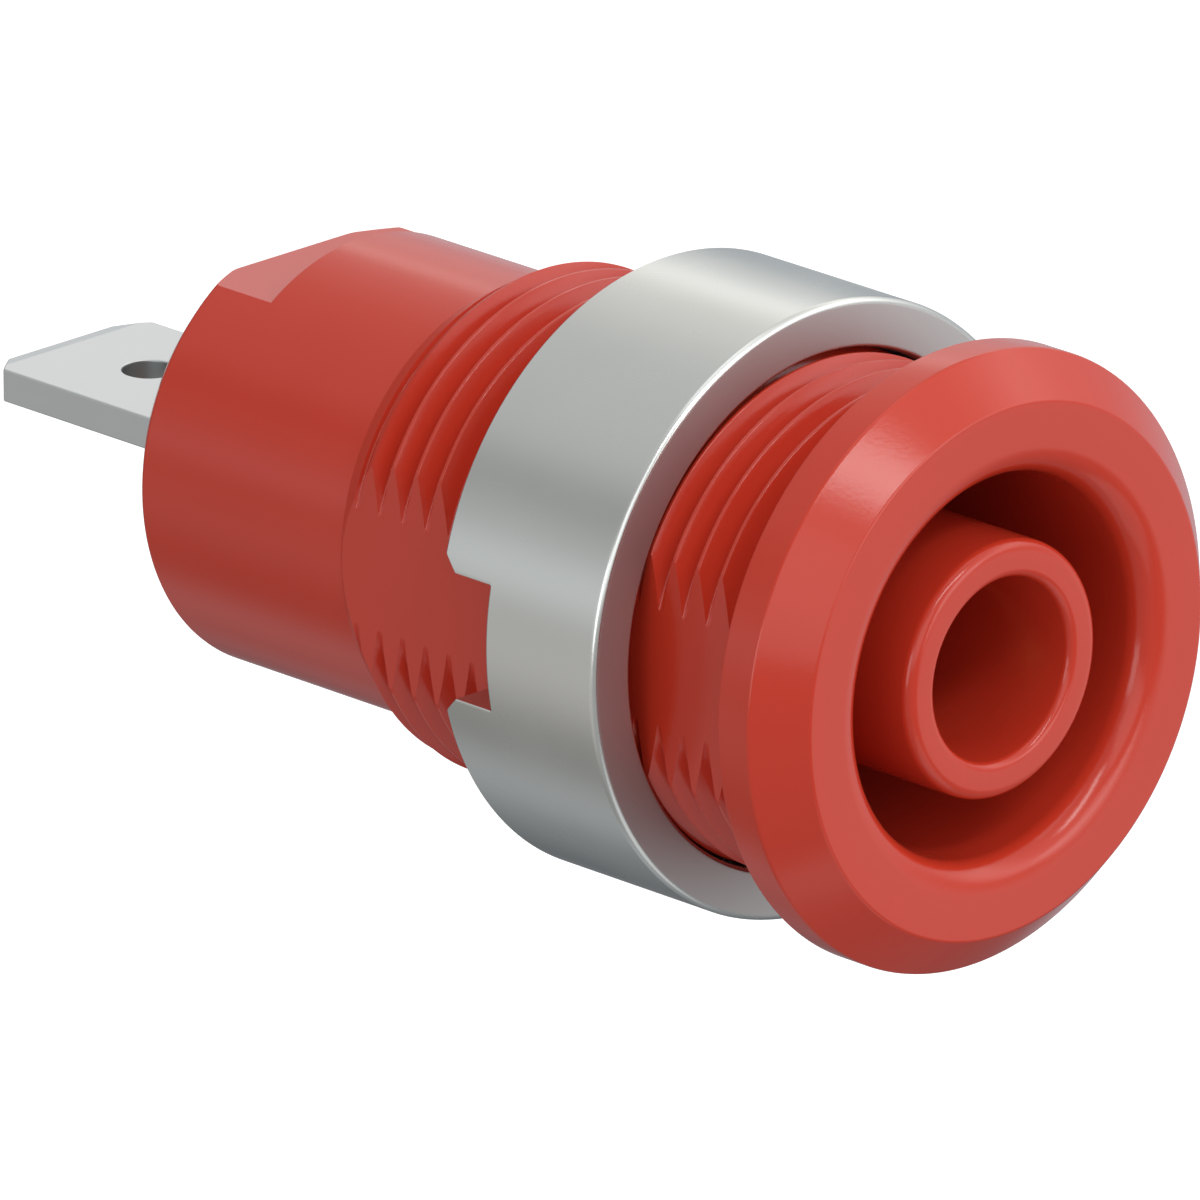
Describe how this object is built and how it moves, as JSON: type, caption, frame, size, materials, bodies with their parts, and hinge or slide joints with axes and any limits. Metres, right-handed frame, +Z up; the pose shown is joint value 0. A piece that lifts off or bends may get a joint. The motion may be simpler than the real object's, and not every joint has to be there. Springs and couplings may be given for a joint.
{
  "type": "panel mount banana socket",
  "caption": "Shrouded banana socket for panel mounting: flanged plastic housing with a threaded, flatted barrel, a slotted metal ring nut and a flat push-on tab at the back.",
  "frame": {"origin": "on the socket's axis, in the flange's rear face, which seats on the panel", "axes": "+Y along the axis, from the mating face towards the flat tab; +Z up, towards the key flat on the body's end; X across the barrel's flats"},
  "size_m": [0.0144, 0.0308, 0.0144],
  "materials": {
    "housing_plastic": "red polyamide, half gloss",
    "contact_metal": "turned brass",
    "tab_metal": "tin plated brass, satin",
    "nut_metal": "nickel plated brass, turned"
  },
  "bodies": {
    "socket": {"housing": "housing_plastic", "contact_sleeve": "contact_metal", "flat_tab": "tab_metal"},
    "nut": {"ring_nut": "nut_metal"}
  },
  "joints": [
    {"name": "nut_travel", "type": "slide", "parent": "socket", "child": "nut", "axis": [0, 1, 0], "range_m": [-0.00385, 0.0075]}
  ]
}
